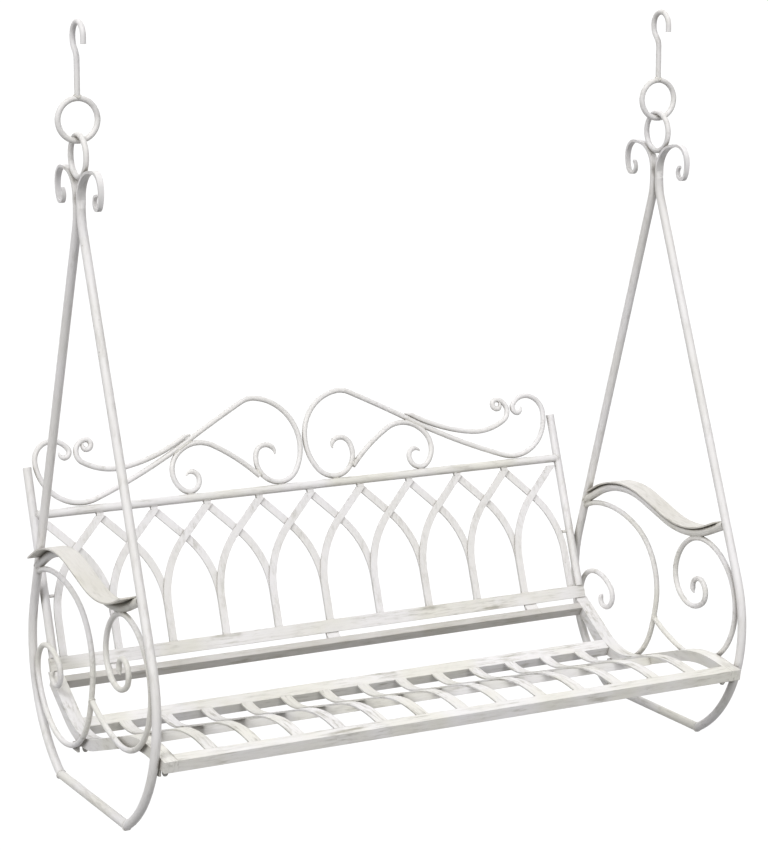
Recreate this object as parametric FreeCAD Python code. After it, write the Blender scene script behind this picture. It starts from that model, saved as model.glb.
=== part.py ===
import FreeCAD, Part
import math
import os

# Hanging two-seat garden swing bench of painted steel rod, tube and flat bar.
# Millimetres. Seen from the front, +X is to the right. -Y is the front and +Z is up.
# Drawing datum: y = 0 on the hanging line, z = 0 on the axis of the two bottom bars.
# The finished part is moved at the end so that its origin is the middle of its base.

V = FreeCAD.Vector

# Stock sizes
TUBE_D = 16.0            # round tube of the legs, armrests, back posts and back top rail
ROD_D = 10.0             # round rod of the rings, hooks and scrollwork
SEAT_BAR_W = 25.0        # seat frame section, width
SEAT_BAR_H = 20.0        # seat frame section, height
STRIP_W = 22.0           # seat cross strips, width
STRIP_T = 3.0            # seat cross strips and armrest strips, thickness
ARCH_W = 14.0            # flat bar of the arched back lattice, width
ARCH_T = 3.0             # flat bar of the arched back lattice, thickness
ARM_STRIP_W = 38.0       # armrest strip, width
LINK_CLEARANCE = 0.3     # free play between the two linked rings
SEAT_SIDE_GAP = 0.2      # play between the seat frame and the legs

# Side frames
FRAME_SPAN = 1160.0      # distance between the planes of the two side frames
LEG_ROOT_Z = 1005.0      # height where the two legs meet back to back
REAR_KNEE = (256.1, 293.0)      # where the straight rear leg starts to bow inwards, as y and z
FRONT_KNEE = (-283.0, 314.3)    # the same on the front leg
REAR_FOOT_Y = 138.0      # rear corner of the bottom bar
FRONT_FOOT_Y = -166.0    # front corner of the bottom bar
LEG_BEND_R = 100.0       # bend where the legs turn to stand side by side
LEG_GAP = 0.2            # play between the two legs where they stand side by side
HORN_UP = 35.0           # where each leg is flattened into its horn, above the meeting of the legs
HORN_NECK = 14.0         # length of the taper from tube to horn
HORN_W = 16.0            # width of the flattened horn at its root
HORN_TIP_W = 6.0         # width of the horn at its tip
HORN_T = 5.0             # thickness of the flattened horn
# Bends of the horn outwards, radius and turn
HORN_BENDS = [(50.0, 80.0), (140.0, 8.0), (28.0, 77.0), (50.0, 40.0), (12.5, 215.0)]

# Rings and hooks
RING_R = 35.5            # rings, to the middle of the rod
LINK_RING_UP = 73.0      # middle of the ring welded between the horns, above their roots
HOOK_R = 24.0            # hook, to the middle of the rod
HOOK_UP = 102.8          # middle of the hook's half circle, above the rod of its ring
HOOK_Y = -7.0            # middle of the hook's half circle
HOOK_TAIL = 12.0         # straight end of the hook
HOOK_NECK_R = 26.0       # bends of the neck

# Armrests: corners of the wave before rounding, as y and z
ARM_REAR = (242.0, 356.5)
ARM_CREST = (109.5, 428.0)
ARM_DIP = (-122.6, 356.1)
ARM_FRONT = (-240.0, 404.8)
ARM_CREST_R = 212.0
ARM_DIP_R = 221.0
ARM_STRIP_OUT = 8.0      # middle of the armrest strip, outward from the side frame
ARM_STRIP_REAR = 36.0    # end of the strip, along the tube from its rear end
ARM_STRIP_FRONT = 18.0   # end of the strip, along the tube from its front end

# Scrolls of bent rod: start point, heading in degrees, then radius and turn of each bend.
# Left turns are positive.
# The side scrolls are drawn in y and z. The crest is drawn in x and in height over the top rail's rod line,
# for posts at CREST_HALF, and is scaled to the real posts.
CREST_HALF = 559.0
REAR_SCROLL = ((234.8, 349.5), 154.9, [(173.6, 18.5), (250.2, 31.0), (124.1, 75.5),
                                       (332.8, 10.7), (131.5, 142.4), (50.3, 98.9),
                                       (77.0, 50.5), (25.3, 157.4), (12.1, 91.1)])
FRONT_SCROLL = ((-17.0, 177.0), 211.3, [(319.7, -23.2), (124.3, -73.5), (113.3, -104.8), (86.0, -85.7),
                                        (55.7, -140.0), (26.0, -107.8), (19.3, -137.2)])
CREST_MAIN = ((66.0, 68.0), 41.3, [(21.5, -110.4), (44.1, -165.4), (93.0, -119.1),
                                    (48.5, -33.1), (2935.0, -2.7), (1247.4, 9.9),
                                    (81.8, 109.8), (36.4, 146.0), (10.9, 125.1)])
CREST_INNER = ((100.0, 15.0), 46.4, [(361.9, -17.4), (63.8, -79.5), (44.2, -90.5),
                                      (21.9, -132.1), (15.5, -73.8)])
CREST_OUTER = ((246.0, 102.0), 329.9, [(354.8, 21.1), (122.1, 39.8), (22.7, 145.9), (9.2, 208.1)])

# Seat contour: corners of the top surface before rounding, as y and z
SEAT_REAR = (200.0, 161.0)
SEAT_VALLEY = (70.6, 78.6)
SEAT_CREST = (-203.0, 167.3)
SEAT_FRONT = (-312.0, 150.0)
SEAT_VALLEY_R = 145.0
SEAT_CREST_R = 273.0
REAR_RAIL_W = 14.0       # seat's rear rail, width along the slope
LATTICE_Y = 112.5        # rear edge of the rail that the cross strips start from
STRIP_COUNT = 13
STRIP_IN = 69.8          # middle of the outer strips, inward from the side rails
MID_BAR_Y = -45.0        # bar under the cross strips
MID_BAR_H = 18.0
MID_BAR_T = 5.0

# Backrest, drawn in its own leaning plane: x across, s up along the slope
BACK_LEAN = 19.5         # degrees
BACK_Y = 214.9           # foot of the leaning plane
BACK_Z = 170.3
POST_IN = 21.0           # axes of the back posts, inward from the side frames
POST_TOP = 369.0
TOP_RAIL_S = 281.0       # axis of the top rail
BOTTOM_RAIL_S = -3.0     # lower edge of the bottom rail
BOTTOM_RAIL_H = 24.0
BOTTOM_RAIL_T = 8.0
BOTTOM_RAIL_IN = 12.0    # ends of the bottom rail, inward from the side frames
ARCH_IN = 19.0           # feet of the outer flat bars, inward from the axes of the posts
ARCH_COUNT = 9           # whole pointed arches, with a half arch at each end
ARCH_TOP = 267.0         # height where the flat bars end under their tabs
ARCH_SLOPE = 45.0        # slope of the flat bars near the top, degrees
ARCH_R = 172.0           # bow of the flat bars
ARCH_TAB_W = 13.0
PEG_S = 132.0            # peg from the last arch to the post
PEG_D = 6.0

# Fastenings
BOLT_D = 6.0
NUT_FLATS = 10.0
NUT_H = 5.0
BRACKET_T = 4.0
BRACKET_L = 24.0
FRONT_BOLT_Y = -276.0
REAR_BOLT_Y = 80.0
BOLT_IN = 16.0           # bolts, inward from the seat frame's outer side
BOLT_END = 6.0           # bolt end below the nut
BRACKET_TURN = 14.0      # length of the bracket's turned-down side
BACK_TAB_X = 440.0       # outer tabs between the back and the seat
BACK_TAB_W = 26.0
BACK_TAB_T = 4.0         # thickness of the tabs under the back's bottom rail
BACK_TAB_HIGH = 2.0      # foot of the tabs, down the rear face of the seat's rear rail
BACK_TAB_LOW = 12.0
CUT = 400.0              # size of the cutting block for mitres and trimmed ends

tube_r = TUBE_D / 2
rod_r = ROD_D / 2
half_span = FRAME_SPAN / 2
seat_half = half_span - tube_r - SEAT_SIDE_GAP
post_x = half_span - POST_IN
rail_half = half_span - BOTTOM_RAIL_IN
horn_z = LEG_ROOT_Z + HORN_UP
link_ring_z = horn_z + LINK_RING_UP
hang_ring_z = link_ring_z + 2 * RING_R - ROD_D - LINK_CLEARANCE
hook_z = hang_ring_z + RING_R + HOOK_UP
strip_pitch = 2 * (seat_half - SEAT_BAR_W - STRIP_IN) / (STRIP_COUNT - 1)
half_count = (ARCH_COUNT + 1) // 2
arch_pitch = (post_x - ARCH_IN) / half_count
crest_foot = TOP_RAIL_S + tube_r + rod_r
crest_scale = post_x / CREST_HALF


def unit(angle):
    return (math.cos(math.radians(angle)), math.sin(math.radians(angle)))


def toward(a, b, length):
    """Point at a length from a on the line to b."""
    share = length / math.hypot(b[0] - a[0], b[1] - a[1])
    return (a[0] + (b[0] - a[0]) * share, a[1] + (b[1] - a[1]) * share)


def corner(a, b, c, d):
    """Crossing of line a-b with line c-d."""
    r = (b[0] - a[0], b[1] - a[1])
    s = (d[0] - c[0], d[1] - c[1])
    k = ((c[0] - a[0]) * s[1] - (c[1] - a[1]) * s[0]) / (r[0] * s[1] - r[1] * s[0])
    return (a[0] + k * r[0], a[1] + k * r[1])


def offset(points, radii, d):
    """Corners and radii of the same path moved to its left by d."""
    lines = []
    for a, b in zip(points, points[1:]):
        length = math.hypot(b[0] - a[0], b[1] - a[1])
        n = (-(b[1] - a[1]) / length * d, (b[0] - a[0]) / length * d)
        lines.append(((a[0] + n[0], a[1] + n[1]), (b[0] + n[0], b[1] + n[1])))
    out = [lines[0][0]]
    rounds = []
    for i, r in enumerate(radii):
        out.append(corner(*lines[i], *lines[i + 1]))
        a, b, c = points[i], points[i + 1], points[i + 2]
        turn = (b[0] - a[0]) * (c[1] - b[1]) - (b[1] - a[1]) * (c[0] - b[0])
        rounds.append(r - d if turn > 0 else r + d)
    out.append(lines[-1][1])
    return out, rounds


def rounded(points, radii, place):
    """Edges of a path with rounded corners, set in space by place(u, v)."""
    edges = []
    at = points[0]
    for a, b, c, r in zip(points, points[1:], points[2:], radii):
        p = math.hypot(a[0] - b[0], a[1] - b[1])
        q = math.hypot(c[0] - b[0], c[1] - b[1])
        e = ((a[0] - b[0]) / p, (a[1] - b[1]) / p)
        f = ((c[0] - b[0]) / q, (c[1] - b[1]) / q)
        half = math.acos(e[0] * f[0] + e[1] * f[1]) / 2
        run = r / math.tan(half)
        start = (b[0] + e[0] * run, b[1] + e[1] * run)
        end = (b[0] + f[0] * run, b[1] + f[1] * run)
        m = ((e[0] + f[0]) / 2, (e[1] + f[1]) / 2)
        size = math.hypot(*m)
        reach = r / math.sin(half) - r
        middle = (b[0] + m[0] / size * reach, b[1] + m[1] / size * reach)
        if math.hypot(start[0] - at[0], start[1] - at[1]) > 1e-6:
            edges.append(Part.makeLine(place(*at), place(*start)))
        edges.append(Part.Arc(place(*start), place(*middle), place(*end)).toShape())
        at = end
    edges.append(Part.makeLine(place(*at), place(*points[-1])))
    return edges


def side(u, v):
    return V(0, u, v)


def back(u, v):
    return V(u, 0, v)


def rod(edges, radius):
    """Round bar along a path."""
    path = Part.Wire(edges)
    first = path.OrderedEdges[0]
    start = first.valueAt(first.FirstParameter)
    along = first.tangentAt(first.FirstParameter)
    disc = Part.Face(Part.Wire(Part.makeCircle(radius, start, along)))
    return path.makePipe(disc)


def bent(start, heading, bends, place):
    """Edges of a chain of arcs, each starting where and as the last one ends."""
    edges = []
    at = start
    for radius, turn in bends:
        out = math.copysign(radius, turn)
        left = unit(heading + 90)
        hub = (at[0] + out * left[0], at[1] + out * left[1])
        stops = []
        for part_turn in (turn / 2, turn):
            left = unit(heading + part_turn + 90)
            stops.append((hub[0] - out * left[0], hub[1] - out * left[1]))
        edges.append(Part.Arc(place(*at), place(*stops[0]), place(*stops[1])).toShape())
        at = stops[1]
        heading += turn
    return edges


def scroll(start, heading, bends, place):
    return rod(bent(start, heading, bends, place), rod_r)


def crest(start, heading, bends):
    """Scroll on the back's top rail, scaled to the width between the posts."""
    at = (start[0] * crest_scale, crest_foot + start[1] * crest_scale)
    return scroll(at, heading, [(r * crest_scale, turn) for r, turn in bends], back)


def band(points, radii, low, high, place):
    """Face between two offsets of a path."""
    under = rounded(*offset(points, radii, low), place)
    over = rounded(*offset(points, radii, high), place)
    ends = []
    for k in (0, -1):
        p = offset(points, radii, low)[0][k]
        q = offset(points, radii, high)[0][k]
        ends.append(Part.makeLine(place(*p), place(*q)))
    return Part.Face(Part.Wire(Part.__sortEdges__(under + over + ends)))


def plate(corners, place, along):
    """Flat-sided bar: a closed outline pushed along a direction."""
    points = [place(*p) for p in corners]
    return Part.Face(Part.makePolygon(points + points[:1])).extrude(along)


def beyond(shape, point, normal):
    """Shape without what lies past a plane."""
    box = Part.makeBox(CUT, CUT, CUT, V(-CUT / 2, -CUT / 2, 0))
    box.Placement = FreeCAD.Placement(point, FreeCAD.Rotation(V(0, 0, 1), normal))
    return shape.cut(box)


def cope(shape, *others):
    """Shape with its ends and sides fitted to the pieces it is welded to."""
    for other in others:
        shape = shape.cut(other)
    return shape


def largest(shape):
    """Main piece of a shape, without the slivers that coping leaves past a joint."""
    return max(shape.Solids, key=lambda s: s.Volume)


def mirrored(shape):
    return shape.mirror(V(0, 0, 0), V(1, 0, 0))


def moved(shape, x, y=0.0, z=0.0):
    out = shape.copy()
    out.translate(V(x, y, z))
    return out


nodes = {}

# Legs. Each is a tube whose top is flattened into a horn, drawn once in the plane x = 0.


def leg_path(way, knee, foot_y):
    """Root, middle of the bow and heading at the foot of a leg to the rear (way 1) or front (way -1)."""
    root = (way * (tube_r + LEG_GAP / 2), LEG_ROOT_Z)
    run = math.hypot(knee[0] - root[0], knee[1] - root[1])
    down = ((knee[0] - root[0]) / run, (knee[1] - root[1]) / run)
    inward = (way * down[1], -way * down[0])
    chord = (foot_y - knee[0], -knee[1])
    bow_r = (chord[0] ** 2 + chord[1] ** 2) / (2 * (chord[0] * inward[0] + chord[1] * inward[1]))
    centre = (knee[0] + bow_r * inward[0], knee[1] + bow_r * inward[1])
    half = (knee[0] + chord[0] / 2 - centre[0], knee[1] + chord[1] / 2 - centre[1])
    reach = bow_r / math.hypot(*half)
    middle = (centre[0] + half[0] * reach, centre[1] + half[1] * reach)
    spoke = ((foot_y - centre[0]) / bow_r, -centre[1] / bow_r)
    heading = (way * spoke[1], -way * spoke[0])
    return root, middle, heading


def mitre(way, heading):
    """Normal of the joint between a leg and the bottom bar, out of the leg."""
    return side(heading[0] - way, heading[1])


def leg(way, knee, foot_y):
    root, middle, heading = leg_path(way, knee, foot_y)
    foot = (foot_y, 0.0)
    past_foot = (foot[0] + heading[0] * TUBE_D, foot[1] + heading[1] * TUBE_D)
    top = (root[0], horn_z - HORN_NECK)
    path = rounded([top, root, knee], [LEG_BEND_R], side)
    path.append(Part.Arc(side(*knee), side(*middle), side(*foot)).toShape())
    path.append(Part.makeLine(side(*foot), side(*past_foot)))
    tube = beyond(rod(path, tube_r), side(*foot), mitre(way, heading))
    return tube.fuse(neck(root[0])).fuse(horn(way, root[0])).removeSplitter()


def horn(way, y):
    """Flattened end of a leg: rises, turns outwards, curls and tapers to its tip."""
    bends = [(radius, -way * turn) for radius, turn in HORN_BENDS]
    path = Part.Wire(bent((y, horn_z), 90, bends, side))
    last = path.OrderedEdges[-1]
    end = last.valueAt(last.LastParameter)
    tip = flat_end(end, last.tangentAt(last.LastParameter), HORN_TIP_W)
    return path.makePipeShell([horn_root(y), tip], True, False)


def flat_end(at, along, width):
    """Section of the horn, across its heading."""
    w = V(width / 2, 0, 0)
    t = V(0, along.z, -along.y) * (HORN_T / 2)
    corners = [at - w - t, at + w - t, at + w + t, at - w + t]
    return Part.makePolygon(corners + corners[:1])


def horn_root(y):
    return flat_end(side(y, horn_z), side(0, 1), HORN_W)


def neck(y):
    """Short taper from the round tube to the flat horn."""
    ring = Part.Wire(Part.makeCircle(tube_r, V(0, y, horn_z - HORN_NECK), V(0, 0, 1)))
    return Part.makeLoft([ring, horn_root(y)], True)


rear_sizes = (1, REAR_KNEE, REAR_FOOT_Y)
front_sizes = (-1, FRONT_KNEE, FRONT_FOOT_Y)
rear_leg = leg(*rear_sizes)
front_leg = leg(*front_sizes)

bar = rod([Part.makeLine(side(REAR_FOOT_Y + TUBE_D, 0), side(FRONT_FOOT_Y - TUBE_D, 0))], tube_r)
for sizes in (rear_sizes, front_sizes):
    out_of_leg = mitre(sizes[0], leg_path(*sizes)[-1])
    bar = beyond(bar, side(sizes[2], 0), out_of_leg.negative())
bottom_bar = bar

link_ring = Part.makeTorus(RING_R, rod_r, V(0, 0, link_ring_z), V(1, 0, 0))
link_ring = cope(link_ring, rear_leg, front_leg)

# Armrest: a waved tube between the legs and a wide strip along its top
arm_points = [ARM_REAR, ARM_CREST, ARM_DIP, ARM_FRONT]
arm_radii = [ARM_CREST_R, ARM_DIP_R]
arm_tube = rod(rounded(arm_points, arm_radii, side), tube_r)
arm_tube = largest(cope(arm_tube, rear_leg, front_leg))
strip_points = [toward(ARM_REAR, ARM_CREST, ARM_STRIP_REAR), ARM_CREST, ARM_DIP,
                toward(ARM_FRONT, ARM_DIP, ARM_STRIP_FRONT)]
strip_face = band(strip_points, arm_radii, -tube_r - STRIP_T, -tube_r, side)
arm_strip = moved(strip_face.extrude(V(ARM_STRIP_W, 0, 0)), ARM_STRIP_OUT - ARM_STRIP_W / 2)

rear_scroll = largest(cope(scroll(*REAR_SCROLL, side), rear_leg, arm_tube))
front_scroll = largest(cope(scroll(*FRONT_SCROLL, side), rear_scroll, front_leg, arm_tube))

# Hook and hanging ring
hang_ring = Part.makeTorus(RING_R, rod_r, V(0, 0, hang_ring_z), V(0, 1, 0))
hook_back = HOOK_Y + HOOK_R
hook_front = HOOK_Y - HOOK_R
neck_z = hook_z - hook_back - HOOK_NECK_R / 2
stem_points = [(0, hang_ring_z + RING_R), (0, neck_z), (hook_back, neck_z + hook_back), (hook_back, hook_z)]
hook_edges = rounded(stem_points, [HOOK_NECK_R, HOOK_NECK_R], side)
hook_top = side(HOOK_Y, hook_z + HOOK_R)
hook_edges.append(Part.Arc(side(hook_back, hook_z), hook_top, side(hook_front, hook_z)).toShape())
hook_edges.append(Part.makeLine(side(hook_front, hook_z), side(hook_front, hook_z - HOOK_TAIL)))
hook = largest(cope(rod(hook_edges, rod_r), hang_ring))

for name, x in (("left", -half_span), ("right", half_span)):
    nodes[name + "_hook"] = moved(hook, x)
    nodes[name + "_hanging_ring"] = moved(hang_ring, x)
    nodes[name + "_link_ring"] = moved(link_ring, x)
    nodes[name + "_rear_leg"] = moved(rear_leg, x)
    nodes[name + "_front_leg"] = moved(front_leg, x)
    nodes[name + "_bottom_bar"] = moved(bottom_bar, x)
    nodes[name + "_armrest_tube"] = moved(arm_tube, x)
    nodes[name + "_armrest_strip"] = moved(arm_strip if x > 0 else mirrored(arm_strip), x)
    nodes[name + "_rear_scroll"] = moved(rear_scroll, x)
    nodes[name + "_front_scroll"] = moved(front_scroll, x)

# Seat. One contour shapes the side rails and every cross strip.
seat_points = [SEAT_REAR, SEAT_VALLEY, SEAT_CREST, SEAT_FRONT]
seat_radii = [SEAT_VALLEY_R, SEAT_CREST_R]
seat_wire = Part.Wire(rounded(seat_points, seat_radii, side))


def seat_height(y):
    column = Part.makeLine(side(y, 0), side(y, ARM_CREST[1]))
    return seat_wire.distToShape(column)[1][0][0].z


def seat_at(y):
    """Height of the seat's top surface and its slope direction at y, front-going."""
    z = seat_height(y)
    rise = seat_height(y - 1) - z
    size = math.hypot(1, rise)
    return z, (-1 / size, rise / size)


def crossbar(y, z, t, length):
    """Corners of a seat frame section whose top starts at y, z and runs along t."""
    n = (t[1], -t[0])
    far = (y + t[0] * length, z + t[1] * length)
    low = (-n[0] * SEAT_BAR_H, -n[1] * SEAT_BAR_H)
    return [(y, z), far, (far[0] + low[0], far[1] + low[1]), (y + low[0], z + low[1])]


def along_seat(points):
    face = plate(points, side, V(2 * seat_half - 2 * SEAT_BAR_W, 0, 0))
    return moved(face, -seat_half + SEAT_BAR_W)


contour = band(seat_points, seat_radii, 0, SEAT_BAR_H, side)
side_rail = contour.extrude(V(SEAT_BAR_W, 0, 0))
nodes["seat_left_rail"] = moved(side_rail, -seat_half)
nodes["seat_right_rail"] = moved(side_rail, seat_half - SEAT_BAR_W)

slope = math.hypot(SEAT_VALLEY[0] - SEAT_REAR[0], SEAT_VALLEY[1] - SEAT_REAR[1])
down = ((SEAT_VALLEY[0] - SEAT_REAR[0]) / slope, (SEAT_VALLEY[1] - SEAT_REAR[1]) / slope)
rear_section = crossbar(*SEAT_REAR, down, REAR_RAIL_W)
nodes["seat_rear_rail"] = along_seat(rear_section)

nose = math.hypot(SEAT_FRONT[0] - SEAT_CREST[0], SEAT_FRONT[1] - SEAT_CREST[1])
out = ((SEAT_FRONT[0] - SEAT_CREST[0]) / nose, (SEAT_FRONT[1] - SEAT_CREST[1]) / nose)
front_top = (SEAT_FRONT[0] - out[0] * SEAT_BAR_W, SEAT_FRONT[1] - out[1] * SEAT_BAR_W)
front_section = crossbar(*front_top, out, SEAT_BAR_W)
nodes["seat_front_rail"] = along_seat(front_section)

lattice_z, lattice_t = seat_at(LATTICE_Y)
lattice_section = crossbar(LATTICE_Y, lattice_z, lattice_t, SEAT_BAR_W)
nodes["seat_lattice_rail"] = along_seat(lattice_section)

strip_band = band(seat_points, seat_radii, 0, STRIP_T, side)
strip = moved(strip_band.extrude(V(STRIP_W, 0, 0)), -STRIP_W / 2)
strip = beyond(strip, side(*lattice_section[1]), side(-lattice_t[0], -lattice_t[1]))
strip = largest(cope(strip, nodes["seat_front_rail"]))
for i in range(STRIP_COUNT):
    x = (i - (STRIP_COUNT - 1) / 2) * strip_pitch
    nodes["seat_strip_%02d" % (i + 1)] = moved(strip, x)

mid_z, mid_t = seat_at(MID_BAR_Y)
mid_n = (mid_t[1], -mid_t[0])
mid_top = (MID_BAR_Y - mid_n[0] * STRIP_T, mid_z - mid_n[1] * STRIP_T)
mid_section = [mid_top, (mid_top[0] + mid_t[0] * MID_BAR_T, mid_top[1] + mid_t[1] * MID_BAR_T)]
mid_section.append((mid_section[1][0] - mid_n[0] * MID_BAR_H, mid_section[1][1] - mid_n[1] * MID_BAR_H))
mid_section.append((mid_top[0] - mid_n[0] * MID_BAR_H, mid_top[1] - mid_n[1] * MID_BAR_H))
nodes["seat_mid_bar"] = along_seat(mid_section)

# Backrest, drawn upright and then leaned back
lean = FreeCAD.Placement(V(0, BACK_Y, BACK_Z), FreeCAD.Rotation(V(1, 0, 0), -BACK_LEAN))


def leaned(shape):
    out = shape.copy()
    out.Placement = lean.multiply(out.Placement)
    return out


top_rail = Part.makeCylinder(tube_r, 2 * post_x, V(-post_x, 0, TOP_RAIL_S), V(1, 0, 0))
post_foot = BOTTOM_RAIL_S + BOTTOM_RAIL_H
post = Part.makeCylinder(tube_r, POST_TOP - post_foot, V(post_x, 0, post_foot))
top_rail = largest(cope(top_rail, post, mirrored(post)))
bottom_rail = Part.makeBox(2 * rail_half, BOTTOM_RAIL_T, BOTTOM_RAIL_H,
                           V(-rail_half, -BOTTOM_RAIL_T / 2, BOTTOM_RAIL_S))


arch_tan = math.tan(math.radians(ARCH_SLOPE))
arch_turn = ARCH_TOP - arch_pitch / arch_tan


def arch_bar(x, way, layer):
    """One flat bar: slopes down from an arch's point, bows and stands on the bottom rail."""
    foot_x = x + way * arch_pitch
    top = (x - way * ARCH_W, ARCH_TOP + ARCH_W / arch_tan)
    points = [top, (foot_x, arch_turn), (foot_x, post_foot)]
    flat = band(points, [ARCH_R], -ARCH_W / 2, ARCH_W / 2, back)
    bar = moved(flat.extrude(V(0, ARCH_T, 0)), 0, layer)
    return beyond(bar, V(x, 0, ARCH_TOP), V(0, 0, 1))


front_bars = [arch_bar(k * arch_pitch, -1, -ARCH_T) for k in range(-half_count + 1, half_count + 1)]
rear_bars = [arch_bar(k * arch_pitch, 1, 0) for k in range(-half_count, half_count)]
tabs = []
for k in range(-half_count + 1, half_count):
    tab = Part.makeBox(ARCH_TAB_W, 2 * ARCH_T, TOP_RAIL_S - ARCH_TOP,
                       V(k * arch_pitch - ARCH_TAB_W / 2, -ARCH_T, ARCH_TOP))
    tabs.append(largest(cope(tab, top_rail)))

# Peg from the outer side of the last bowed bar to the post
bow_s = arch_turn - ARCH_R * math.tan(math.radians(ARCH_SLOPE / 2))
bow_x = half_count * arch_pitch - ARCH_R
peg_x = bow_x + math.sqrt((ARCH_R + ARCH_W / 2) ** 2 - (PEG_S - PEG_D / 2 - bow_s) ** 2)
peg = Part.makeCylinder(PEG_D / 2, post_x - peg_x, V(peg_x, ARCH_T / 2, PEG_S), V(1, 0, 0))
peg = cope(peg, post)

# Crest of bent rods: the right half is drawn and mirrored
crest_main = largest(cope(crest(*CREST_MAIN), top_rail, post))
crest_left = mirrored(crest_main)
crest_main = largest(cope(crest_main, crest_left))
crest_inner = largest(cope(crest(*CREST_INNER), crest_main, top_rail))
crest_outer = largest(cope(crest(*CREST_OUTER), crest_main, crest_inner))

nodes["back_left_post"] = leaned(mirrored(post))
nodes["back_right_post"] = leaned(post)
nodes["back_top_rail"] = leaned(top_rail)
nodes["back_bottom_rail"] = leaned(bottom_rail)
nodes["back_front_arches"] = leaned(Part.makeCompound(front_bars))
nodes["back_rear_arches"] = leaned(Part.makeCompound(rear_bars))
nodes["back_arch_tabs"] = leaned(Part.makeCompound(tabs))
nodes["back_left_peg"] = leaned(mirrored(peg))
nodes["back_right_peg"] = leaned(peg)
for name, piece in (("main", crest_main), ("inner", crest_inner), ("outer", crest_outer)):
    nodes["crest_right_%s_rod" % name] = leaned(piece)
    left = crest_left if name == "main" else mirrored(piece)
    nodes["crest_left_%s_rod" % name] = leaned(left)

# Tabs that carry the back on the seat's rear rail
rail_front = lean.multVec(V(0, -BACK_TAB_T / 2, BOTTOM_RAIL_S))
rail_rear = lean.multVec(V(0, BACK_TAB_T / 2, BOTTOM_RAIL_S))
face = ((rear_section[3][0] - SEAT_REAR[0]) / SEAT_BAR_H, (rear_section[3][1] - SEAT_REAR[1]) / SEAT_BAR_H)
seat_high = (SEAT_REAR[0] + face[0] * BACK_TAB_HIGH, SEAT_REAR[1] + face[1] * BACK_TAB_HIGH)
seat_low = (SEAT_REAR[0] + face[0] * BACK_TAB_LOW, SEAT_REAR[1] + face[1] * BACK_TAB_LOW)
tab_outline = [(rail_front.y, rail_front.z), (rail_rear.y, rail_rear.z), seat_low, seat_high]
back_tab = plate(tab_outline, side, V(BACK_TAB_W, 0, 0))
back_tabs = [moved(back_tab, x - BACK_TAB_W / 2) for x in (-BACK_TAB_X, 0, BACK_TAB_X)]
nodes["back_seat_tabs"] = Part.makeCompound(back_tabs)
corner_tab = plate(tab_outline, side, V(SEAT_BAR_W, 0, 0))
nodes["back_corner_tabs"] = Part.makeCompound([moved(corner_tab, -seat_half),
                                               moved(corner_tab, seat_half - SEAT_BAR_W)])

# Brackets and bolts that hold the seat to the side frames
bolt_x = seat_half - BOLT_IN


def nut(x, y, top):
    ring = [unit(60 * i) for i in range(6)]
    r = NUT_FLATS / math.sqrt(3)
    hexagon = Part.makePolygon([V(x + r * c, y + r * s, top - NUT_H) for c, s in ring + ring[:1]])
    return Part.Face(hexagon).extrude(V(0, 0, NUT_H))


def bracket(y, top, stop):
    """Angle under a seat rail: flat on the rail, turned down against the side frame."""
    outer = half_span - stop
    flat = Part.makeBox(outer - bolt_x + BRACKET_L / 2, BRACKET_L, BRACKET_T,
                        V(bolt_x - BRACKET_L / 2, y - BRACKET_L / 2, top - BRACKET_T))
    turned = Part.makeBox(BRACKET_T, BRACKET_L, BRACKET_TURN,
                          V(outer - BRACKET_T, y - BRACKET_L / 2, top - BRACKET_TURN))
    return flat.fuse(turned).removeSplitter()


brackets = []
bolts = []
nuts = []
for y, stop in ((FRONT_BOLT_Y, tube_r), (REAR_BOLT_Y, rod_r)):
    z, t = seat_at(y)
    lowest = min(seat_height(y + k * BRACKET_L / 2) for k in (-1, 0, 1))
    under = lowest - SEAT_BAR_H / abs(t[0])
    nut_top = under - BRACKET_T
    bolt_low = nut_top - NUT_H - BOLT_END
    shank = Part.makeCylinder(BOLT_D / 2, z - SEAT_BAR_H / 2 - bolt_low, V(bolt_x, y, bolt_low))
    shank = cope(shank, nodes["seat_right_rail"])
    brackets.append(cope(bracket(y, under, stop), shank))
    bolts.append(largest(shank))
    nuts.append(cope(nut(bolt_x, y, nut_top), shank))

nodes["right_seat_brackets"] = Part.makeCompound(brackets)
nodes["left_seat_brackets"] = mirrored(Part.makeCompound(brackets))
nodes["seat_bolts"] = Part.makeCompound(bolts + [mirrored(b) for b in bolts])
nodes["seat_nuts"] = Part.makeCompound(nuts + [mirrored(n) for n in nuts])

box = FreeCAD.BoundBox()
for shape in nodes.values():
    box.add(shape.optimalBoundingBox(False, False))
shift = V(0, -(box.YMin + box.YMax) / 2, -box.ZMin)
size = (box.XLength, box.YLength, box.ZLength)
print("shift", [round(c, 3) for c in shift], "size", [round(c, 1) for c in size])

os.makedirs("parts", exist_ok=True)
for name, shape in nodes.items():
    shape.translate(shift)
    shape.exportStep("parts/%s.step" % name)
print(len(nodes), "nodes")
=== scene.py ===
# %% [markdown]
# This lesson dresses a hanging garden swing bench of painted steel.
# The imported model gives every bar, ring and rod in its place, in metres, with the front towards -Y.
# It could be modelled again from nothing, but the frame already has the right sizes and joints.
# So the frame is loaded as it is.
# The lesson adds paint, weld beads, rod tips, cap nuts, light and a camera.

# %% Load the frame and keep its box
import bmesh
import bpy
import math
from mathutils import Matrix, Vector, noise
from mathutils.bvhtree import BVHTree


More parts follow.
